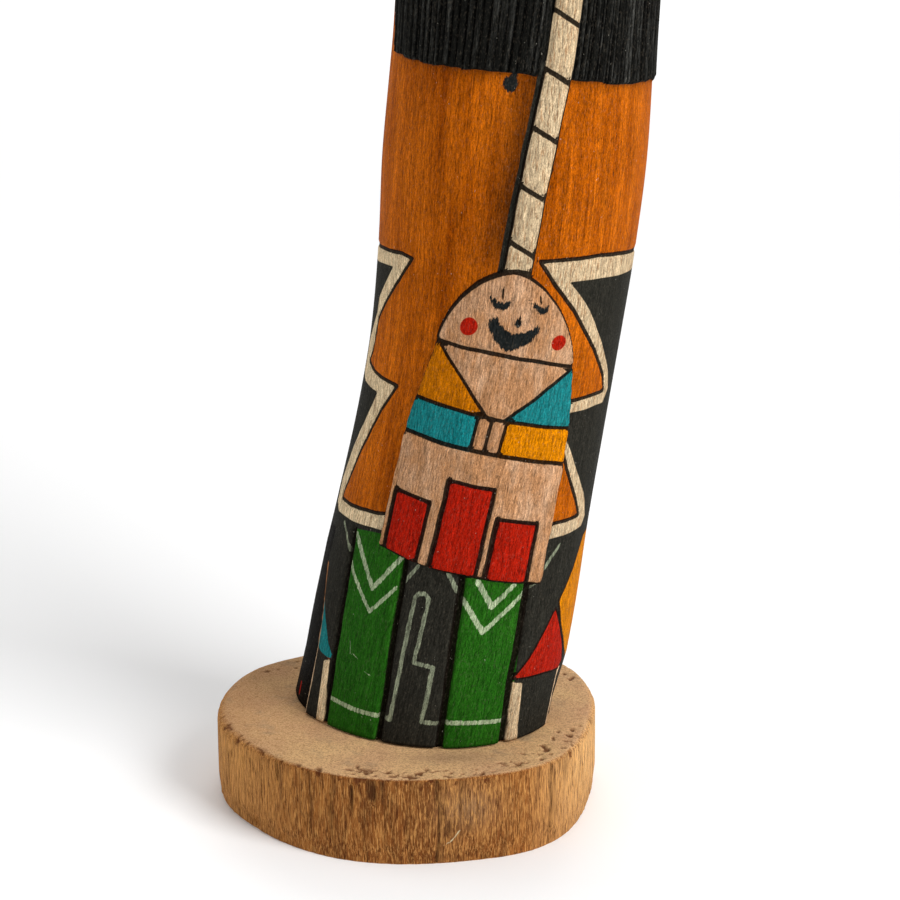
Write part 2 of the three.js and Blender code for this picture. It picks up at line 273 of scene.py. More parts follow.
# Columns follow the rope up and the leaning skirt down, and rows lie square to the leaning root
from_rope = np.clip(np.abs(around(column, rope_middle(0))) / ROPE_PULL, 0, 1)
rope_lean = (rope_middle(row) - rope_middle(0)) * np.cos(from_rope * math.pi / 2) ** 2
skirt_lean = SKIRT_LEAN * np.clip(1 - row / LEAN_TOP, 0, 1) * np.cos(column / WRAP_RADIUS / 2) ** 2
s = column + rope_lean + skirt_lean
v = row - row_slant(row) * WRAP_RADIUS * np.sin(s / WRAP_RADIUS)
s = around(s, 0)

# Everything is drawn by hand: a line wanders about its place by about a tenth of a millimetre
WANDER = 0.09
place_s, place_v = s, v
s = s + WANDER * rough(place_s, place_v, 1.7, 3.5) + WANDER * rough(place_s, place_v, 5, 8)
v = v + WANDER * rough(place_s, place_v, 3.5, 1.9) + WANDER * rough(place_s, place_v, 8, 6)
front = around(s, FRONT)
mirrored = np.abs(front)

panel_w = v - PANEL_FOOT + PANEL_SLANT * s
panel_u = s - panel_middle(panel_w)
panel_w = v - PANEL_FOOT + PANEL_SLANT * panel_u


# Paint: how deep each point lies inside each colour, in millimetres, with FAR for well away from its edge

COLOURS = ("cream", "black", "flap_shade", "tan", "turquoise", "yellow", "amber", "red", "green", "hair")
OVERLAYS = ("line", "chalk", "ink", "edge")
FAR = 9.0
paint = {name: np.full(s.shape, -FAR) for name in COLOURS + OVERLAYS}


def lay(colour, depth):
    """Paints a shape over what is there. The overlays leave the colours under them as they are."""
    if colour in COLOURS:
        for other in COLOURS:
            paint[other] = np.minimum(paint[other], -depth)
        for overlay in OVERLAYS:
            paint[overlay] = np.minimum(paint[overlay], -depth)
    paint[colour] = np.maximum(paint[colour], depth)


# A thin line is stored as the distance across it too, below zero on one side and in half widths, so that
# it stays sharp between the points of the grid
across_line = {overlay: np.full(s.shape, FAR) for overlay in ("line", "chalk", "edge")}
LINE_SLACK = 0.15


def draw(overlay, width, across, limit=FAR):
    """Draws a line along the middle of a distance field and returns how deep each point lies in it."""
    depth = np.minimum(width / 2 + LINE_SLACK - np.abs(across), limit)
    across_line[overlay] = np.where(depth > paint[overlay], across / (width / 2), across_line[overlay])
    lay(overlay, depth)
    return np.minimum(width / 2 - np.abs(across), limit)


# Relief, in millimetres out of the surface: first the shallow marks of knife and scraper

knife_marks = KNIFE_DEPTH * rough(place_s, place_v, 7, 14)
scrape_marks = SCRAPE_DEPTH * rough(place_s, place_v, 2.6, 9)
lift = knife_marks + scrape_marks - KNIFE_DEPTH


def raise_to(height, depth, edge=0.45):
    """Raises the inside of a shape to a height, with a steep wall at its edge."""
    share = smooth(depth / edge + 0.5)
    lift[:] = lift * (1 - share) + height * share


def engrave(cut, depth, reach=0.7):
    """Cuts into the surface where a line's depth is above zero, with sloping walls."""
    lift[:] = lift - cut * smooth((depth + reach / 2) / reach)


# The robe: black fields with a cream border and a burnt outline, in teeth that point to the middle. Each
# outline runs on below the foot and past where the next one starts.

def paint_robe(border, field, x):
    outer = polygon(x, v, *border)
    lay("cream", outer)
    lay("black", polygon(x, v, *field))
    return outer


ROBE_LINE = 0.75
right_border = [(5.6, 94.5), (8.6, 90.4), (13.5, 84.8), (18.9, 78.4), (25.3, 70.4), (27.1, 66.9), (13, 67.2),
                (13, 61.5), (16.2, 58.4), (18.6, 53.3), (23.6, 45.3), (25.1, 42.9), (13, 43.2), (13, -9),
                (62, -9), (62, 92.5), (36, 92.7), (18.3, 94.5)]
right_field = [(12.1, 90.1), (17.6, 84.3), (24, 75.5), (27.6, 70.5), (29.6, 66.8), (27.6, 64.5), (13, 64.7),
               (13, 62), (17.2, 59.4), (21.5, 52.7), (26.8, 45.4), (28.3, 42), (27, 40.2), (13, 39.6),
               (13, -9), (62, -9), (62, 89), (36, 89), (19.1, 90)]
left_border = [(-24.3, 93.9), (-20.9, 93.4), (-24.6, 88.9), (-29, 84.2), (-32.8, 79.6), (-34, 73),
               (-35.4, 70.9), (-31.2, 69.7), (-21.8, 68.8), (-25.7, 63), (-31.2, 53.3), (-35.7, 45),
               (-36.2, 43), (-27, 43.3), (-14, 44.4), (-14, -9), (-46, -9), (-46, 92.8)]
left_field = [(-27, 90.9), (-29.1, 88.5), (-33.2, 83.8), (-33.8, 80.8), (-38, 74.5), (-39.5, 68),
              (-35.8, 66.8), (-28.2, 66.1), (-31.8, 59.4), (-36.4, 52.2), (-39.5, 46), (-39.5, 41.5),
              (-36.4, 40.2), (-14, 40.9), (-14, -9), (-46, -9), (-46, 89.4)]
front_border = [(9, 93.4), (14, 86), (19, 79), (23.6, 71), (9, 69.6), (14, 62), (20, 52), (23, 43.5),
                (-1, 43.5), (-1, -9), (34, -9), (34, 92.8)]
front_field = [(13, 90), (18, 82), (23, 75), (27, 69), (25, 67), (14, 66.5), (18, 60), (24, 50), (27, 42.5),
               (25.5, 40.6), (-1, 40.6), (-1, -9), (34, -9), (34, 89.4)]

robe_edges = [paint_robe(front_border, front_field, mirrored),
              paint_robe(left_border, left_field, s),
              paint_robe(right_border, right_field, s)]
robe = np.max(robe_edges, axis=0)
engrave(LINE_CUT, draw("line", ROBE_LINE, robe, v - ROBE_FOOT))

# The skirt: green strips on black between deep slots, with chalk chevrons and a stepped figure

lay("black", np.minimum(SKIRT_HALF - np.abs(s), SKIRT_TOP - v))
SLOT_WIDTH = 1.3
SKIRT_SLOTS = [[(-23.3, -1), (-26.7, 39)], [(-8.6, -1), (-11, 37.5)], [(3.3, -1), (1.1, 35)],
               [(14.8, -1), (13.8, 12), (13.9, 32)]]
FRONT_SLOTS = [[(4.2, -1), (4.2, 37)], [(17.2, -1), (17.2, 37)]]
lay("green", polygon(s, v, (-23, -2), (-26.2, 39.4), (-14, 40.4), (-11, 37), (-8.6, -2)))
lay("green", polygon(s, v, (3.3, -2), (1.1, 35), (13.7, 33), (15.3, -2)))
lay("green", polygon(mirrored, v, (4.5, -2), (4.5, 36), (17, 38), (15.5, -2)))

# Shapes beside the strips: a crescent on the left, a narrow tab at each side, two curved fields on the right
lay("turquoise", polygon(s, v, (-33, 23.6), (-32.1, 14.8), (-29.5, 13.4), (-26.4, 13), (-25.2, 13.4),
                         (-27.6, 15.7), (-29.4, 18.3), (-31, 20.6)))
lay("cream", polygon(s, v, (-27.8, 12.2), (-25.6, 12.7), (-23.7, -1), (-26.2, -1)))
lay("cream", polygon(s, v, (14.2, 12.2), (16.4, 11.7), (17.8, -1), (15.2, -1)))
red_field = polygon(s, v, (21.6, 25.5), (18.6, 20.2), (16.7, 16.4), (14, 12.8), (21.2, 12.3), (26.7, 11.5),
                    (28, 12.6), (26.5, 16.4), (24.2, 20.7))
lay("red", red_field)
yellow_field = polygon(s, v, (29.4, 37.8), (25.9, 32.3), (22.2, 26.6), (24, 21.8), (27.6, 15.4), (30, 12.5),
                       (34, 13), (38, 18.5), (40, 26), (38.8, 33), (34.6, 38.4))
lay("amber", yellow_field)
for field in (red_field, yellow_field):
    draw("line", 0.4, field)

# Chalk lines, each as its width and its points, with three fine scratches among them
chalk_lines = [
    (0.95, [(-25.6, 38.6), (-17.6, 29.4), (-11.7, 36.8)]),
    (0.75, [(-25.3, 32.8), (-24.6, 31.6), (-17, 24.8), (-11.9, 30.4)]),
    (0.95, [(4.2, 33.1), (7.6, 28.2), (11, 32)]),
    (0.85, [(2, 29.8), (6.8, 23.2), (13.2, 30.2)]),
    (0.75, [(-7.9, 35.6), (-10.2, 31.9)]),
    (0.75, [(-1.6, 34.6), (0.8, 31.2)]),
    (0.6, [(-31.6, 39.2), (-29.6, 37.6), (-26.8, 34.7)]),
    (0.65, [(19.8, 38.2), (16.7, 34.2)]),
    (0.5, [(15.4, 32.1), (13.9, 30.4)]),
    (0.14, [(-20.4, 18), (-19.8, 15.7)]),
    (0.14, [(-18.9, 15.7), (-17.3, 15)]),
    (0.14, [(-15.1, 12.9), (-13.6, 12.5)]),
    (0.75, [(-9.4, 5.2), (-7, 4.7), (-7.3, 29.2), (-6.6, 30.2), (-5.2, 30.3), (-4.4, 29.4), (-4.7, 16.7),
           (-0.8, 16.1), (-0.8, 5.1), (2, 5)]),
    (0.8, [(-22.9, 5.4), (-16, 4.9), (-9.7, 5)]),
    (0.8, [(3.4, 5.2), (14.4, 4.6)]),
]
for width, points in chalk_lines:
    draw("chalk", width, across_path(s, v, *points))
for side in (-1, 1):
    draw("chalk", 1, across_path(side * front, v, (4.6, 33), (10.6, 26.5), (16.8, 34)))

for points in SKIRT_SLOTS:
    engrave(SLOT_CUT, draw("line", SLOT_WIDTH, across_path(s, v, *points), SLOT_TOP - v))
for points in FRONT_SLOTS:
    engrave(SLOT_CUT, draw("line", SLOT_WIDTH, across_path(mirrored, v, *points)))

# The robe's open edge at each side of the skirt: the wood steps back there and its cut side is bare

STEP_REACH = 32.0
STEP_WALL = 0.4


def step_back(behind, fade_top, fade_height, edge_top, edge_width):
    """Lowers the surface behind an edge, in full at the foot and not at all at the fade's top."""
    fade = np.clip((fade_top - v) / fade_height, 0, 1)
    share = smooth(np.minimum(behind, STEP_REACH - behind) / STEP_WALL + 0.5)
    lift[:] = lift - STEP_DEPTH * fade * share
    draw("edge", edge_width, behind, edge_top - v)


left_step = curve_through((0, -31), (14, -31.5), (22, -32.8), (31, -35.7))
right_step = curve_through((0, 26.2), (7, 26.6), (11.3, 27))
# Painted shade: the robe's flap left of the left step is painted near black, for the deep shadow it lies in
lay("flap_shade", np.minimum(np.minimum(left_step(v) - s, s - FLAP_SHADE_LEFT), FLAP_SHADE_TOP - v))
step_back(left_step(v) - s, fade_top=32, fade_height=22, edge_top=30, edge_width=1.1)
step_back(s - right_step(v), fade_top=13, fade_height=10, edge_top=11.5, edge_width=1.3)
lay("red", stroke(s, v, 0.7, (-38.2, 1.2), (-38.4, 3.4)))

# The rope, with a dark side and slanting twist lines

rope_across = s - rope_middle(v)
rope = np.minimum(ROPE_WIDTH / 2 - np.abs(rope_across), np.minimum(v - ROPE_FOOT, ROPE_TOP - v))
hair_edge = curve_through((-33, 130.6), (-17, 129.6), (-3, 128.8), (9, 127.4), (20, 126), (47, 124.8))
hair_left = curve_through((131, HAIR_LEFT + 1.8), (139, HAIR_LEFT + 0.3), (150, HAIR_LEFT))
above_edge = v - hair_edge(s) - HAIR_RAGGED * rough(s, v, 1.6, 40)
hair = np.minimum(above_edge, np.minimum(s - hair_left(v), HAIR_RIGHT - s))
fringe = v - BROW - FRINGE_RAGGED * rough(s, v, 1.7, 40)
locks = np.maximum(hair, fringe)

beside_rope = curve_through((91, 1), (100, 1), (112, 0.8), (122, 0.8), (130, 0.9))
shade = np.minimum(ROPE_WIDTH / 2 + beside_rope(v) + rope_across, -rope_across)
shade = np.minimum(shade, np.minimum(v - SHADE_FOOT, SHADE_TOP - v))


# Strands: a cut at every few columns, and each strand a little higher or lower than the next. A strand's
# width is a number of columns.

FINE_STRANDS = [2, 3, 3, 3]
COARSE_STRAND = 2
CUT_SHARES = (0.7, 1)
STRAND_HEIGHTS = (-0.3, -0.1)


def strand_profile():
    """For each column, how deep its cut is as a share, and how high its strand stands."""
    cut = np.zeros(len(columns))
    height = np.zeros(len(columns))
    start = 0
    while start < len(columns):
        is_fine = columns[start] < FINE_HALF
        width = rng.choice(FINE_STRANDS) if is_fine else COARSE_STRAND
        cut[start] = rng.uniform(*CUT_SHARES)
        height[start:start + width] = rng.uniform(*STRAND_HEIGHTS)
        start += width
    return cut, height


strand_cut, strand_height = strand_profile()
strand_shine = rng.uniform(0, 1, len(columns))
next_to_cut = 0.25 * (np.roll(strand_cut, 1) + np.roll(strand_cut, -1)) * (strand_cut == 0)
strand_wear = 0.85 + 0.25 * rough(s, v, 1.6, 16)
groove = (strand_cut + next_to_cut) * strand_wear
crown_fade = np.clip((CROWN_START + CROWN_WRAP - v) / CROWN_WRAP, 0.15, 1)
strand = (strand_height - STRAND_CUT * groove) * crown_fade

raise_to(HAIR_DEPTH + strand, hair)
raise_to(FRINGE_DEPTH + strand, np.minimum(fringe, -hair + 0.2))
lay("hair", locks)

lay("black", shade)
lay("cream", rope)
rope_rounding = 1 - 0.45 * np.clip(np.abs(rope_across) / (ROPE_WIDTH / 2), 0, 1) ** 3
rope_lift = curve_through((125, ROPE_DEPTH), (130, HAIR_DEPTH + ROPE_OVER_HAIR))
raise_to(rope_lift(v) * rope_rounding, rope)
beside_hair = np.minimum(ROPE_UNDER_HAIR - v, v - ROPE_FOOT)
draw("line", 0.45, np.abs(rope_across) - ROPE_WIDTH / 2, beside_hair)
for turn in range(TWIST_COUNT):
    level = TWIST_FIRST + turn * TWIST_PITCH
    start = (-ROPE_WIDTH / 2 - 0.3, level + TWIST_DROP / 2)
    end = (ROPE_WIDTH / 2 + 0.3, level - TWIST_DROP / 2)
    engrave(TWIST_CUT, draw("line", 0.8, across_path(rope_across, v, start, end), rope))

# The little flat doll

head_h = np.clip((panel_w - PANEL_CHIN) / (PANEL_HEIGHT - PANEL_CHIN), 0, None)
head_u = np.abs(panel_u) / panel_side(PANEL_CHIN)
head = (1 - (head_h ** HEAD_POWER + head_u ** HEAD_POWER) ** (1 / HEAD_POWER)) * panel_side(PANEL_CHIN)
trunk = np.minimum(panel_side(panel_w) - np.abs(panel_u), panel_w)
panel = np.where(panel_w > PANEL_CHIN, head, trunk)
lay("tan", panel)
raise_to(PANEL_DEPTH, panel)

above_belt = np.minimum(panel_w - PANEL_BELT_HIGH, PANEL_CHIN - panel_w)
in_belt = np.minimum(panel_w - PANEL_BELT_LOW, PANEL_BELT_HIGH - panel_w)
lay("yellow", np.minimum(np.minimum(panel, above_belt), -panel_u))
lay("turquoise", np.minimum(np.minimum(panel, above_belt), panel_u))
collar = [(-13.3, PANEL_CHIN), (-0.7, PANEL_BELT_HIGH), (2.7, PANEL_BELT_HIGH), (13.8, PANEL_CHIN)]
lay("tan", polygon(panel_u, panel_w, *collar))
lay("turquoise", np.minimum(np.minimum(panel, in_belt), BELT_BARS[0] - panel_u))
lay("amber", np.minimum(np.minimum(panel, in_belt), panel_u - BELT_BARS[-1]))

hem_bars = [(-15.6, -7.6, 11.9), (-4.8, 4.2, 17.1), (5.9, 13.8, 11.7)]
for left, right, top in hem_bars:
    bar = polygon(panel_u, panel_w, (left, -1), (left, top), (right, top), (right, -1))
    lay("red", np.minimum(bar, panel))

burnt_lines = [
    (0.75, [(-17, PANEL_CHIN), (0, PANEL_CHIN + 0.3), (17, PANEL_CHIN)]),
    (0.7, [(-17, PANEL_BELT_HIGH), (17, PANEL_BELT_HIGH)]),
    (0.8, [(-18, PANEL_BELT_LOW), (0, PANEL_BELT_LOW + 0.4), (18, PANEL_BELT_LOW)]),
    (0.65, [collar[0], collar[1]]),
    (0.65, [collar[2], collar[3]]),
]
for bar_u in BELT_BARS:
    burnt_lines.append((0.65, [(bar_u, PANEL_BELT_LOW + 0.6), (bar_u, PANEL_BELT_HIGH)]))
for left, right, top in hem_bars:
    burnt_lines += [(1.05, [(left, -1), (left, top)]), (0.75, [(left, top), (right, top)]),
                    (0.8, [(right, top), (right, -1)])]
for width, points in burnt_lines:
    engrave(LINE_CUT, draw("line", width, across_path(panel_u, panel_w, *points), panel))
draw("line", 0.5 + 0.35 * smooth(0.5 - panel_u / 14), panel, panel_w - PANEL_CHIN)
draw("line", 0.4, panel, np.minimum(panel_w + 1, PANEL_CHIN - panel_w))
draw("line", 0.8, across_path(s, v, (-2.4, 92.1), (-0.8, 92.8), (1.4, 93), (3.6, 92.5)))

# Its face

lay("ink", polygon(s, v, (-3.1, 88.6), (-2.5, 87), (-1.6, 86), (-0.4, 85.6), (0.8, 86), (1.2, 87.9),
                   (0.6, 87.2), (-0.5, 87), (-1.6, 87.2), (-2.3, 88)))
lay("ink", polygon(s, v, (4.1, 87.7), (5.4, 86), (6.6, 84.6), (7.8, 84.7), (8.1, 86.4), (7.4, 85.8),
                   (6.1, 86.2), (4.9, 87)))
draw("line", 0.36, across_path(s, v, (-0.7, 89.8), (-0.6, 88)))
draw("line", 0.3, across_path(s, v, (6.2, 88), (6.4, 86.8)))
lay("ink", disc(s, v, 0.65, (2.7, 83)))
draw("line", 0.4, across_path(s, v, (2.85, 83.2), (2.95, 84.3)))
lay("ink", polygon(s, v, (-2.6, 84.2), (-2.4, 82.3), (-1.3, 80), (0.5, 78.3), (1.7, 77.7), (3.3, 78.3),
                   (5.6, 79.7), (6.6, 81.1), (6.8, 82.7), (6, 82), (4.8, 81.5), (3.3, 81.1), (1.7, 81.1),
                   (0.5, 81.8), (-0.6, 83), (-1.3, 84.2)))
for radius, place in ((1.65, (-6.3, 82.4)), (1.4, (11, 79))):
    lay("red", disc(s, v, radius, place))

# The mask in front

mask = np.minimum(np.minimum(front + MASK_HALF, MASK_HALF - front), np.minimum(v - CHIN, BROW + 0.5 - v))
mask = np.minimum(mask, -locks)
lay("turquoise", mask)
raise_to(MASK_DEPTH, mask)
draw("line", 1, v - CHIN - 0.4, np.minimum(MASK_HALF + 0.5 - mirrored, -locks))
eyes = stroke(mirrored, v, 2.4, (5.5, EYE_LEVEL), (12.5, EYE_LEVEL))
mouth = stroke(front, v, 2.6, (-3.2, MOUTH_LEVEL), (3.2, MOUTH_LEVEL))
for opening in (eyes, mouth):
    lay("black", opening)
    engrave(OPENING_CUT, opening)
beard_edge = CHIN - BEARD_LENGTH * (1 - 0.25 * (front / BEARD_HALF) ** 2)
beard = np.minimum(np.minimum(BEARD_HALF - mirrored, CHIN + 1 - v), v - beard_edge)
lay("hair", beard)
raise_to(BEARD_DEPTH + strand, beard)

# A drop of dark paint under the hair

drop = np.maximum(disc(s, v, 1.25, DROP), stroke(s, v, 1.0, (-2.4, 127.5), (-1.8, 129)))
lay("ink", drop)


# Meshes from rings of points

def closed_rings(name, rings):
    """A closed mesh from rings of points stacked from the bottom up, with a point at each end."""
    count, sides = rings.shape[:2]
    low = rings[0].mean(axis=0)
    high = rings[-1].mean(axis=0)
    points = np.concatenate([rings.reshape(-1, 3), [low, high]]) * MM
    here = np.arange(count * sides).reshape(count, sides)
    beside = np.roll(here, -1, axis=1)
    quads = np.stack([here[:-1], beside[:-1], beside[1:], here[1:]], axis=-1).reshape(-1, 4)
    foot = [(count * sides, b, a) for a, b in zip(here[0], beside[0])]
    top = [(count * sides + 1, a, b) for a, b in zip(here[-1], beside[-1])]
    mesh = bpy.data.meshes.new(name)
    mesh.from_pydata(points.tolist(), [], quads.tolist() + foot + top)
    mesh.shade_smooth()
    piece = bpy.data.objects.new(name, mesh)
    bpy.context.collection.objects.link(piece)
    return piece


def give_attribute(piece, name, values, end_values):
    """Stores one number for each point, and one for each of the two end points."""
    layer = piece.data.attributes.new(name, "FLOAT", "POINT")
    layer.data.foreach_set("value", np.append(values.ravel(), end_values).astype(np.float32))


def give_vector(piece, name, vectors, end_vectors):
    """Stores one vector for each point, and one for each of the two end points."""
    layer = piece.data.attributes.new(name, "FLOAT_VECTOR", "POINT")
    stored = np.vstack([vectors.reshape(-1, 3), end_vectors]).astype(np.float32)
    layer.data.foreach_set("vector", stored.ravel())


def give_bake_map(piece, across, up):
    """A flat map of the surface: across and up are shares from 0 to 1 for every point of the grid."""
    count, sides = across.shape
    layer = piece.data.uv_layers.new(name="OFBake")
    corner = np.empty(len(piece.data.loops), int)
    piece.data.loops.foreach_get("vertex_index", corner)
    x = np.append(across.ravel(), [0.5, 0.5])[corner]
    y = np.append(up.ravel(), [0, 1])[corner]
    on_grid = corner < count * sides
    starts = np.empty(len(piece.data.polygons), int)
    totals = np.empty(len(piece.data.polygons), int)
    piece.data.polygons.foreach_get("loop_start", starts)
    piece.data.polygons.foreach_get("loop_total", totals)
    face = np.repeat(np.arange(len(starts)), totals)

    # A face across the seam keeps its width: its points past the seam go on beyond 1
    widest = np.zeros(len(starts))
    np.maximum.at(widest, face[on_grid], x[on_grid])
    wraps = (widest[face] > 0.9) & (x < 0.1) & on_grid
    x = np.where(wraps, x + 1, x)
    layer.data.foreach_set("uv", np.stack([x, y], axis=-1).ravel())


figure_points = on_surface(place_s, place_v, lift)
figure = closed_rings("painted_figure", figure_points)
for name in COLOURS + OVERLAYS:
    top_value = FAR if name == "hair" else -FAR
    give_attribute(figure, name, paint[name], [-FAR, top_value])
for name, across in across_line.items():
    give_attribute(figure, name + "_across", across, [FAR, FAR])
# Painted shade for the hair's cuts and painted highlights for its strands
is_hair = np.maximum(np.minimum(locks, -rope), beard) > 0
give_attribute(figure, "groove", np.where(is_hair, strand_cut * strand_wear, 0), [0, 0])
give_attribute(figure, "shine", np.where(is_hair, strand_shine + 0.3 * rough(s, v, 1.2, 7), 0), [0, 0])

# Painted shade left of the rope and under the hair's edge, where they cast shadows, and a stain round the
# drop

ROPE_SHADOW_WIDTH = 4.4
ROPE_SHADOW_FOOT = 88.0
ROPE_SHADOW_FADE = 12.0
from_shade = np.clip(-ROPE_WIDTH / 2 - beside_rope(v) - rope_across, 0, None)
fade = smooth((v - ROPE_SHADOW_FOOT) / ROPE_SHADOW_FADE)
rope_shadow = 0.95 * np.exp(-(from_shade / ROPE_SHADOW_WIDTH) ** 2) * fade * (rope_across < 0)
hair_share = smooth((s - HAIR_LEFT) / 2) * smooth((HAIR_RIGHT - s) / 2)
hair_edge_shadow = 0.8 * np.exp(-np.abs(hair_edge(s) - v) / 0.9) * hair_share
round_drop = 0.8 * spot(s, v, (-1.6, 127), (2.6, 2.4))
give_attribute(figure, "shade_and_stain", np.max([rope_shadow, hair_edge_shadow, round_drop], axis=0), [0, 0])

# Where each point would be if the root stood straight, so that the grain follows its lean

middle = np.minimum(place_v, CROWN_START)
straight = figure_points - np.stack([lean_x(middle), lean_y(middle), 0 * middle], axis=-1)
give_vector(figure, "straight", straight, [straight[0].mean(axis=0), straight[-1].mean(axis=0)])
give_bake_map(figure, (column + FINE_HALF) / TURN, row / TOP_ROW)
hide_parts("figure")
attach(figure, "root")


# The base: a slice of root with a sanded top and a rough bark side

bark_line = curve_through((-210, 1.2), (-168, 0.6), (-145, -0.7), (-105, 0), (-75, 0.1), (-50, 1.7),
                          (-12, -1.1), (12, 0.1), (34, 1.7), (90, -2), (130, -1.2), (150, 1.2), (192, 0.6))
edge_radius = curve_through((-210, 2.4), (-180, 2.6), (-150, 2), (-120, 1), (-60, 0.9), (-20, 1.6), (20, 2),
                            (45, 0.7), (90, 1), (140, 1), (165, 2.4), (180, 2.6), (190, 2.6))
RIM = 2 * math.pi * BASE_RADIUS

# Its grid: the first ring's share of the radius, and how many rings each stretch has
MIDDLE_SHARE = 0.02
BASE_COLUMNS = 600
UNDER_ROWS = 8
EDGE_ROWS = 6
SIDE_ROWS = 33
OUTER_ROWS = 50
INNER_ROWS = 12

degrees = np.linspace(-180, 180, BASE_COLUMNS, endpoint=False)
inner_shares = np.linspace(MIDDLE_SHARE, 0.64, INNER_ROWS)
outer_shares = np.linspace(0.66, 1, OUTER_ROWS)
top_shares = np.concatenate([inner_shares, outer_shares])
turn_shares = np.linspace(0, 1, EDGE_ROWS + 1)[1:]
side_shares = np.linspace(0, 1, SIDE_ROWS + 1)[1:]


def base_profile():
    """Rows from underneath to the top: shares of the radius and the height, and how far round the edges."""
    profile = [(share, 0.0, 0.0) for share in np.linspace(MIDDLE_SHARE, 1, UNDER_ROWS)]
    profile += [(1.0, 0.0, share) for share in turn_shares]
    profile += [(1.0, share, 1.0) for share in side_shares]
    profile += [(1.0, 1.0, 1 + share) for share in turn_shares]
    profile += [(share, 1.0, 2.0) for share in top_shares[::-1][1:]]
    return np.array(profile)


profile = base_profile()
share, level, bend = (profile[:, i][:, None] for i in range(3))
angle = np.radians(degrees)[None, :]
rim = BASE_RADIUS + bark_line(degrees)[None, :]
edge = edge_radius(degrees)[None, :]
underside = rim - BASE_UNDERCUT
wall = underside + (rim - underside) * smooth(level * 3.5)
round_low = np.clip(bend, 0, 1) * math.pi / 2
round_high = np.clip(bend - 1, 0, 1) * math.pi / 2
low_edge = 0.4 * edge
low_turn = low_edge * (1 - np.sin(round_low)) * (bend <= 1)
high_turn = edge * (1 - np.cos(round_high)) * (bend > 1)
radius = (wall - low_turn - high_turn) * share
height = np.where(level == 0, low_edge * (1 - np.cos(round_low)),
                  low_edge + (BASE_THICKNESS - low_edge - edge) * level + edge * np.sin(round_high))
flank = np.clip(1 - np.abs(bend - 1), 0, 1) * np.ones_like(radius)

# The bark side: fibres, swells, cracks and a notch low on its left

BARK_SET_BACK = 0.16
FIBRE_RELIEF = 0.1
SWELL_RELIEF = 0.1
CRACK_RELIEF = 1.5
MAIN_CRACK_SHARE = 0.45
SMALL_CRACK_SHARE = 0.2
CRACK_HALF = 0.5
NOTCH_RELIEF = 0.9
NOTCH_PLACE = (-144, 1.6)
NOTCH_SIZE = 2.2

around_rim = angle * BASE_RADIUS * np.ones_like(radius)
fibre = rough(around_rim, height, 0.7, 9, RIM) + 0.6 * rough(around_rim, height, 1.5, 15, RIM)
swell = rough(around_rim, height, 6, 16, RIM)
crack = np.clip(rough(around_rim, height, 1.1, 7, RIM) - 0.55, 0, 1) * np.clip(swell + 0.4, 0, 1)
for at in (MAIN_CRACK,) + SMALL_CRACKS:
    beside = around_rim - math.radians(at) * BASE_RADIUS - 0.4 * rough(around_rim, height, 9, 5, RIM)
    deep = MAIN_CRACK_SHARE if at == MAIN_CRACK else SMALL_CRACK_SHARE
    crack = np.maximum(crack, deep * np.clip(1 - np.abs(beside) / CRACK_HALF, 0, 1))
notch_across = np.clip(1 - np.abs(degrees - NOTCH_PLACE[0]) / NOTCH_SIZE, 0, 1)
notch = notch_across * np.clip(1 - np.abs(height - NOTCH_PLACE[1]) / NOTCH_SIZE, 0, 1)
bark = BARK_SET_BACK + FIBRE_RELIEF * fibre + SWELL_RELIEF * (swell + 1) / 2
bark = bark + CRACK_RELIEF * crack + NOTCH_RELIEF * notch
radius = radius - flank * bark

# The sawn top and its pits

TOP_SPAN = 120.0
SAWN_SET_BACK = 0.1
SAWN_RELIEF = 0.03
PIT_DEPTH = 0.45
RIM_PIT_DEPTH = 0.4

x = radius * np.cos(angle)
y = radius * np.sin(angle)
on_top = smooth((bend - 1.3) / 0.7) * (height > BASE_THICKNESS / 2)
top_x = x + TOP_SPAN / 2
sawn = rough(top_x, y, 2.2, 1.1, TOP_SPAN) + rough(top_x, y, 0.8, 0.6, TOP_SPAN)


def pits(count, out, turned, size):
    """Small holes in the top and its rim, at ranges of distance from the middle, angle and size."""
    depth = np.zeros_like(radius)
    for _ in range(count):
        away = rng.uniform(*out)
        at, lie = np.radians([rng.uniform(*turned), rng.uniform(0, 180)])
        deep = BASE_THICKNESS - max(0, away - BASE_RADIUS + 1)
        gap_x, gap_y = x - away * math.cos(at), y - away * math.sin(at)
        along = (gap_x * math.cos(lie) + gap_y * math.sin(lie)) / rng.uniform(1, 2.6)
        across = gap_y * math.cos(lie) - gap_x * math.sin(lie)
        reach = np.sqrt(along ** 2 + across ** 2 + (height - deep) ** 2)
        hole = rng.uniform(*size) * (1 + 0.6 * rough(top_x, y, 0.7, 0.7, TOP_SPAN))
        depth = np.maximum(depth, smooth((hole - reach) / 0.2 + 0.5))
    return depth


# How many pits, how far from the middle, at which angles and how large
PIT_AREAS = [(30, (33, 36.8), (-112, -78), (0.25, 0.6)),
             (14, (34, 37), (-78, -52), (0.2, 0.45)),
             (22, (32, 38), (-50, -18), (0.2, 0.5)),
             (40, (36.8, 38.6), (-172, -130), (0.25, 0.6)),
             (60, (36.8, 38.8), (-125, -30), (0.2, 0.5)),
             (5, (35.5, 36.5), (24, 29), (0.25, 0.4)),
             (8, (29, 36), (120, 175), (0.15, 0.35))]
pit = np.max([pits(*area) for area in PIT_AREAS], axis=0)
height = height - on_top * (SAWN_SET_BACK + SAWN_RELIEF * sawn + PIT_DEPTH * pit)
radius = radius - (1 - on_top) * RIM_PIT_DEPTH * pit
x = radius * np.cos(angle)
y = radius * np.sin(angle)
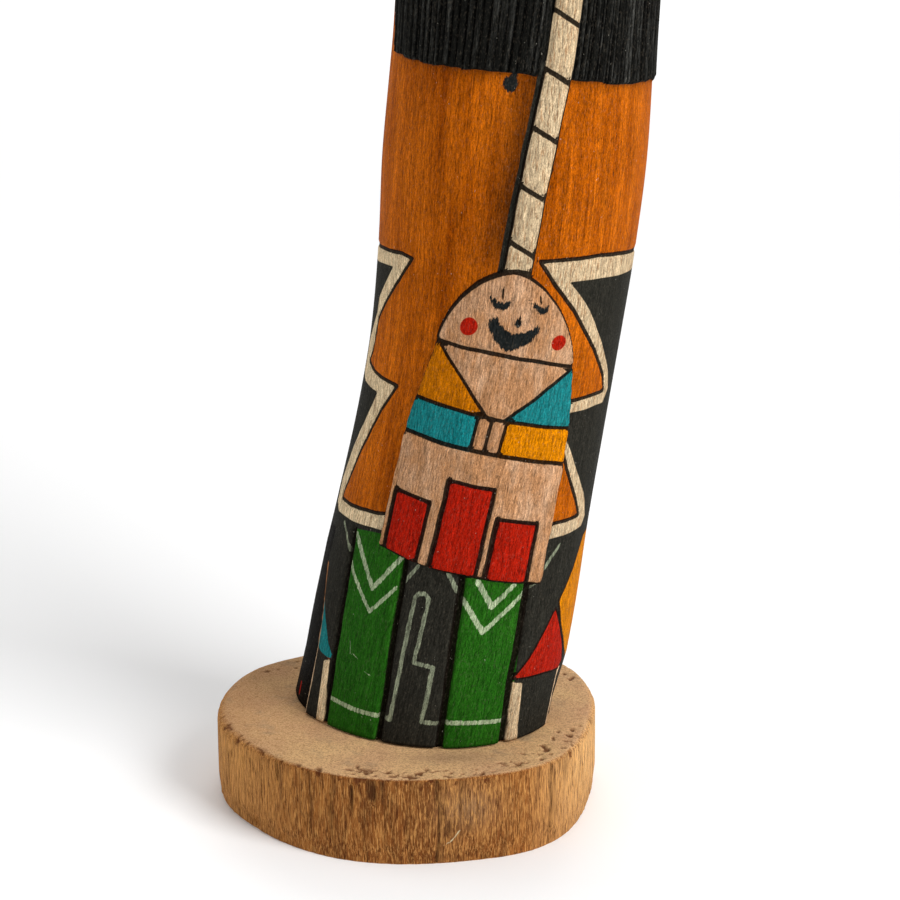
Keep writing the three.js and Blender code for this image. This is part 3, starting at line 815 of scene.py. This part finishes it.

# The main crack, darker on its left and lighter on its right, a grey smudge beside it and a pale scratch
# below, and painted shade with dirt on the top at the figure's foot
rim_place = around_rim / RIM * 360 + 0.8 * rough(around_rim, height, 7, 4, RIM)
from_crack = rim_place - MAIN_CRACK
beside_crack = np.where(from_crack < 0, np.exp(from_crack / 9), -0.6 * np.exp(-from_crack / 5)) * flank
smudge = spot(rim_place, height, (-72, 11), (9, 4.5)) * flank
foot_shade_and_dirt = spot(x, y, (8, -27), (7.5, 2.6)) * on_top
SCRATCH = [(-79.6, 3.8), (-78, 4.4), (-76.5, 5.3), (-75.1, 6.8)]
scratch = stroke(around_rim, height, 0.35, *[(math.radians(at) * BASE_RADIUS, up) for at, up in SCRATCH])
rim_share = np.clip(1 - np.abs(bend - 1.45) / 0.5, 0, 1) * np.ones_like(radius)

base_points = np.stack([x, y, height], axis=-1)
base_piece = closed_rings("root_slice", base_points)
give_attribute(base_piece, "flank", flank, [0, 0])
give_attribute(base_piece, "hollow", -fibre * 0.5 + 3 * crack, [0, 0])
give_attribute(base_piece, "pit", pit, [0, 0])
give_attribute(base_piece, "rim", rim_share, [0, 0])
give_attribute(base_piece, "smudge", smudge, [0, 0])
give_attribute(base_piece, "beside_crack", beside_crack, [0, 0])
give_attribute(base_piece, "scratch", scratch, [-FAR, -FAR])
give_attribute(base_piece, "foot_shade_and_dirt", foot_shade_and_dirt, [0, 0])
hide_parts("base")
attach(base_piece, "root")


# Materials

def linear(red, green, blue):
    """A colour as the shader wants it, from red, green and blue as seen on a screen."""
    seen = [value / 255 for value in (red, green, blue)]
    lit = [value / 12.92 if value <= 0.04045 else ((value + 0.055) / 1.055) ** 2.4 for value in seen]
    return lit + [1.0]


class Shader:
    """Short calls that add nodes to one material and give back their output sockets."""

    def __init__(self, name):
        self.material = bpy.data.materials.new(name)
        self.material.use_nodes = True
        self.tree = self.material.node_tree
        self.surface = self.tree.nodes["Principled BSDF"]

    def add(self, kind, inputs, **settings):
        made = self.tree.nodes.new(kind)
        for key, value in settings.items():
            setattr(made, key, value)
        for key, value in inputs.items():
            if isinstance(value, bpy.types.NodeSocket):
                self.tree.links.new(value, made.inputs[key])
            else:
                made.inputs[key].default_value = value
        return made

    def number(self, name):
        return self.add("ShaderNodeAttribute", {}, attribute_name=name).outputs["Fac"]

    def vector(self, name):
        return self.add("ShaderNodeAttribute", {}, attribute_name=name).outputs["Vector"]

    def math(self, operation, a, b=0.0):
        return self.add("ShaderNodeMath", {0: a, 1: b}, operation=operation).outputs[0]

    def between(self, value, low, high, to_low=0.0, to_high=1.0):
        inputs = {"Value": value, "From Min": low, "From Max": high, "To Min": to_low, "To Max": to_high}
        return self.add("ShaderNodeMapRange", inputs).outputs[0]

    def blend(self, factor, a, b, kind="MIX"):
        made = self.add("ShaderNodeMix", {0: factor, 6: a, 7: b}, data_type="RGBA", blend_type=kind)
        return made.outputs[2]

    def tinted(self, colour, value, low, high, most, tint):
        """A colour that turns to a tint, by the share most in the end, as a value goes from low to high."""
        return self.blend(self.between(value, low, high, 0.0, most), colour, linear(*tint))

    def stretched(self, vector, scale):
        return self.add("ShaderNodeVectorMath", {0: vector, 1: scale}, operation="MULTIPLY").outputs[0]

    def noise(self, vector, scale, detail, roughness):
        """Noise with so many swings in a millimetre along X, Y and Z."""
        inputs = {"Vector": self.stretched(vector, scale), "Scale": 1.0, "Detail": detail,
                  "Roughness": roughness}
        return self.add("ShaderNodeTexNoise", inputs).outputs[0]

    def bump(self, height, distance, strength):
        inputs = {"Height": height, "Distance": distance, "Strength": strength}
        return self.add("ShaderNodeBump", inputs).outputs[0]

    def finish(self, colour, normal, specular):
        """Links what varies over the surface, and sets the specular level, which doesn't."""
        self.tree.links.new(colour, self.surface.inputs["Base Color"])
        self.tree.links.new(normal, self.surface.inputs["Normal"])
        self.surface.inputs["Specular IOR Level"].default_value = specular
        return self.material


# Each paint: its colour, how much it covers and how far its edge frays along the grain, in mm, or in half
# widths for a thin line
PAINTS = {
    "cream": (linear(187, 165, 132), 1.0, 0.0),
    "black": (linear(37, 36, 31), 1.0, 0.0),
    # Painted shade for the robe's flap left of its left step
    "flap_shade": (linear(6, 4, 2), 1.0, 0.0),
    "tan": (linear(166, 120, 82), 0.99, 0.0),
    "turquoise": (linear(4, 112, 115), 0.98, 0.0),
    "yellow": (linear(172, 98, 2), 0.97, 0.0),
    "amber": (linear(190, 114, 1), 0.97, 0.0),
    "red": (linear(152, 20, 9), 0.97, 0.0),
    "green": (linear(25, 82, 16), 0.99, 0.0),
    "hair": (linear(19, 19, 17), 1.0, 0.0),
    "edge": (linear(214, 182, 146), 0.95, 0.3),
    "chalk": (linear(190, 200, 166), 0.66, 1.0),
    "ink": (linear(26, 29, 29), 1.0, 1.2),
    "line": (linear(18, 13, 9), 0.97, 0.4),
}

# A paint begins at the first of these depths and covers in full at the second, in mm
PAINT_EDGE = (-0.14, -0.02)

# The same for the distance from a thin line's middle, in half widths
LINE_EDGE = (1.2, 0.9)


def paint_share(shader, name, cover, ragged):
    """How much of a paint shows at each point: nothing outside its outline and its cover inside."""
    depth = shader.number(name)
    if name not in across_line:
        return shader.between(shader.math("ADD", depth, ragged), *PAINT_EDGE, 0.0, cover)
    across = shader.math("ABSOLUTE", shader.number(name + "_across"))
    edge = shader.between(shader.math("SUBTRACT", across, ragged), *LINE_EDGE)
    return shader.math("MULTIPLY", edge, shader.between(depth, *PAINT_EDGE, 0.0, cover))


def painted_wood():
    shader = Shader("painted_wood")
    place = shader.vector("straight")
    split = shader.add("ShaderNodeSeparateXYZ", {0: place})
    side, level = split.outputs[0], split.outputs[2]
    flecks = shader.noise(place, (3.4, 3.4, 0.5), 4, 0.7)
    pores = shader.noise(place, (5.2, 5.2, 0.75), 2, 0.5)
    broad = shader.noise(place, (0.5, 0.5, 0.018), 3, 0.6)
    blotch = shader.noise(place, (0.09, 0.09, 0.03), 3, 0.6)
    frayed = shader.noise(place, (1.9, 1.9, 0.4), 5, 0.8)
    streaks = shader.noise(place, (3.6, 3.6, 0.35), 3, 0.6)
    patch = shader.noise(place, (0.3, 0.3, 0.12), 4, 0.7)
    fibres = shader.noise(place, (2.0, 2.0, 0.06), 3, 0.6)
    grit = shader.noise(place, (6.5, 6.5, 3.0), 2, 0.6)
    dust = shader.noise(place, (2.0, 2.0, 1.4), 1, 0.5)
    worn = shader.noise(place, (3.0, 3.0, 1.6), 2, 0.6)

    # The bare wood: an orange stain in two tones, with painted shade by the rope and hair and a darker stain
    # round the drop
    tone = shader.math("ADD", shader.math("MULTIPLY", broad, 0.6), shader.math("MULTIPLY", blotch, 0.7))
    colour = shader.tinted(linear(134, 60, 0), tone, 0.45, 0.85, 1.0, (190, 98, 12))
    # Painted shade beside the rope and under the hair's edge, and the stain round the drop
    shade_and_stain_share = shader.math("MULTIPLY", shader.number("shade_and_stain"), shader.between(fibres, 0.35, 0.6, 0.6, 0.95))
    colour = shader.blend(shade_and_stain_share, colour, linear(66, 31, 4))

    # The paints, each over those before it
    for name, (tint, cover, fray) in PAINTS.items():
        ragged = shader.math("MULTIPLY", shader.math("SUBTRACT", frayed, 0.5), fray * 2)
        share = paint_share(shader, name, cover, ragged)
        if name == "cream":
            tint = shader.tinted(tint, side, -8, -18, 1.0, (212, 190, 153))
            tint = shader.tinted(tint, streaks, 0.53, 0.62, 0.6, (140, 92, 48))
        if name == "tan":
            tint = shader.tinted(tint, patch, 0.42, 0.66, 0.55, (196, 162, 132))
        if name == "edge":
            tint = shader.tinted(tint, level, 29, 36, 1.0, (146, 96, 56))
        if name == "chalk":
            share = shader.math("MULTIPLY", share, shader.between(frayed, 0.38, 0.55, 0.35, 1.0))
            on_green = shader.between(shader.number("green"), -0.1, 0.1, 0.6, 1.0)
            share = shader.math("MULTIPLY", share, on_green)
        colour = shader.blend(share, colour, tint)

    # Painted highlights along the hair's strands, and painted shade in the cuts between them
    shine = shader.math("MULTIPLY", shader.number("shine"), shader.between(flecks, 0.35, 0.65, 0.3, 1.0))
    colour = shader.tinted(colour, shine, 0.2, 1.0, 0.4, (88, 88, 84))
    colour = shader.tinted(colour, shader.number("groove"), 0.1, 0.6, 0.97, (3, 3, 3))

    # Grain, wear and dust over everything
    shade = shader.math("MULTIPLY", shader.between(flecks, 0.3, 0.7, 0.52, 1.5),
                        shader.between(pores, 0.58, 0.68, 1.0, 0.55))
    shade = shader.math("MULTIPLY", shade, shader.between(grit, 0.3, 0.7, 0.62, 1.38))
    shade = shader.math("MULTIPLY", shade, shader.between(fibres, 0.3, 0.7, 0.76, 1.24))
    colour = shader.blend(1.0, colour, shade, "MULTIPLY")
    colour = shader.tinted(colour, worn, 0.54, 0.72, 0.09, (140, 128, 110))
    colour = shader.tinted(colour, dust, 0.77, 0.8, 0.3, (200, 196, 180))
    relief = shader.math("SUBTRACT", flecks, shader.between(pores, 0.58, 0.68, 0.0, 0.5))
    roughness = shader.between(flecks, 0.2, 0.8, 0.48, 0.68)
    shader.tree.links.new(roughness, shader.surface.inputs["Roughness"])
    return shader.finish(colour, shader.bump(relief, 0.00018, 0.7), specular=0.012)


def sanded_top(shader, place, across, speckle):
    patches = shader.noise(place, (0.07, 0.07, 0.07), 3, 0.6)
    specks = shader.noise(place, (4.5, 4.5, 4.5), 2, 0.6)
    smoky = shader.noise(place, (0.16, 0.16, 0.16), 4, 0.6)
    top = shader.tinted(linear(212, 166, 124), patches, 0.35, 0.65, 1.0, (230, 188, 134))
    # Painted shade: the top darker towards -X, away from the light
    top = shader.tinted(top, across, -12, -36, 0.7, (166, 120, 78))
    top = shader.tinted(top, speckle, 0.44, 0.62, 0.68, (138, 92, 52))
    top = shader.tinted(top, specks, 0.52, 0.64, 0.3, (240, 206, 160))
    top = shader.tinted(top, smoky, 0.56, 0.72, 0.4, (120, 108, 90))
    # Painted shade and dirt on the top at the figure's foot
    return shader.tinted(top, shader.number("foot_shade_and_dirt"), 0.0, 1.0, 0.4, (104, 82, 60))


def bark_side(shader, place, across, up, fibres):
    threads = shader.noise(place, (5.0, 5.0, 0.45), 3, 0.7)
    wide_fibres = shader.noise(place, (0.5, 0.5, 0.06), 4, 0.7)
    from_middle = shader.math("ABSOLUTE", shader.math("SUBTRACT", across, 3.0))
    beside_main_crack = shader.number("beside_crack")
    side = shader.tinted(linear(132, 75, 29), wide_fibres, 0.32, 0.68, 1.0, (184, 123, 60))
    # Lighter towards +X: partly the wood's own colour, partly painted light on the lit side
    side = shader.tinted(side, across, 22, 35, 0.88, (250, 198, 132))
    side = shader.tinted(side, across, -20, -34, 0.65, (226, 166, 94))
    side = shader.tinted(side, up, 13, 1, 0.35, (128, 70, 30))
    side = shader.tinted(side, from_middle, 26, 6, 0.5, (112, 62, 26))
    # Darker on the main crack's left and lighter on its right
    side = shader.tinted(side, beside_main_crack, 0.1, 1.0, 0.5, (84, 44, 18))
    side = shader.tinted(side, beside_main_crack, -0.05, -0.6, 0.32, (190, 142, 86))
    side = shader.tinted(side, shader.number("smudge"), 0.0, 1.0, 0.36, (156, 138, 108))
    side = shader.tinted(side, fibres, 0.46, 0.59, 0.9, (72, 34, 10))
    side = shader.tinted(side, threads, 0.5, 0.6, 0.62, (220, 160, 90))
    side = shader.tinted(side, shader.number("scratch"), 0.0, 0.1, 0.8, (214, 200, 160))
    return shader.tinted(side, shader.number("hollow"), 0.1, 1.1, 0.75, (52, 28, 12))


def bare_root():
    shader = Shader("bare_root")
    place = shader.stretched(shader.add("ShaderNodeTexCoord", {}).outputs["Object"], (1000, 1000, 1000))
    split = shader.add("ShaderNodeSeparateXYZ", {0: place})
    across, up = split.outputs[0], split.outputs[2]
    fibres = shader.noise(place, (3.2, 3.2, 0.24), 5, 0.8)
    speckle = shader.noise(place, (2.8, 2.8, 2.8), 4, 0.75)
    top = sanded_top(shader, place, across, speckle)
    side = bark_side(shader, place, across, up, fibres)
    colour = shader.blend(shader.between(shader.number("flank"), 0.15, 0.6), top, side)
    torn = shader.math("MULTIPLY", shader.number("rim"), shader.between(speckle, 0.5, 0.58, 0.0, 0.8))
    colour = shader.blend(torn, colour, linear(124, 62, 26))
    colour = shader.tinted(colour, shader.number("pit"), 0.0, 1.0, 0.85, (92, 46, 22))
    shader.surface.inputs["Roughness"].default_value = 0.85
    normal = shader.bump(shader.math("ADD", fibres, speckle), 0.0003, 0.7)
    return shader.finish(colour, normal, specular=0.1)


figure.data.materials.append(painted_wood())
base_piece.data.materials.append(bare_root())


# Floor, light and camera, in metres

FLOOR_HALF = 6.0
OBJECT_MIDDLE = (0.01, 0, 0.1)
CAMERA_PLACE = (0.0079, -0.4684, 0.2039)
CAMERA_DOWN = 15.9
FOCAL_LENGTH = 100
SENSOR_WIDTH = 36
SKY_STRENGTH = 0.5

# Each lamp: where it stands, what it points at, the side of its square and its power in watts
LAMPS = {
    "key": ((0.8, -0.7, 0.8), OBJECT_MIDDLE, 0.6, 15),
    "left": ((-0.9, 0.35, 0.35), OBJECT_MIDDLE, 0.5, 1.9),
    "background": ((0, 2.2, 1.6), (0, 2.1, 0), 1.5, 26),
}


def pale_floor():
    low, high = -FLOOR_HALF, FLOOR_HALF
    corners = [(low, low, 0), (high, low, 0), (high, high, 0), (low, high, 0)]
    mesh = bpy.data.meshes.new("floor")
    mesh.from_pydata(corners, [], [(0, 1, 2, 3)])
    floor = bpy.data.objects.new("floor", mesh)
    bpy.context.collection.objects.link(floor)
    shader = Shader("floor")
    shader.surface.inputs["Base Color"].default_value = linear(250, 250, 250)
    shader.surface.inputs["Roughness"].default_value = 0.9
    mesh.materials.append(shader.material)


def soft_light(name, place, target, size, power):
    light = bpy.data.lights.new(name, "AREA")
    light.size = size
    light.energy = power
    lamp = bpy.data.objects.new(name, light)
    lamp.location = place
    aim = np.array(target) - np.array(place)
    lamp.rotation_euler = (math.atan2(math.hypot(aim[0], aim[1]), -aim[2]), 0, math.atan2(-aim[0], aim[1]))
    bpy.context.collection.objects.link(lamp)


def white_sky():
    world = bpy.data.worlds.new("studio")
    world.use_nodes = True
    background = world.node_tree.nodes["Background"]
    background.inputs["Color"].default_value = (1, 1, 1, 1)
    background.inputs["Strength"].default_value = SKY_STRENGTH
    bpy.context.scene.world = world


def photo_camera():
    lens = bpy.data.cameras.new("camera")
    lens.lens = FOCAL_LENGTH
    lens.sensor_width = SENSOR_WIDTH
    camera = bpy.data.objects.new("camera", lens)
    camera.location = CAMERA_PLACE
    camera.rotation_euler = (math.radians(90 - CAMERA_DOWN), 0, 0)
    bpy.context.collection.objects.link(camera)
    bpy.context.scene.camera = camera


white_sky()
bpy.context.scene.view_settings.view_transform = "Standard"
pale_floor()
for name, (place, target, size, power) in LAMPS.items():
    soft_light(name, place, target, size, power)
photo_camera()
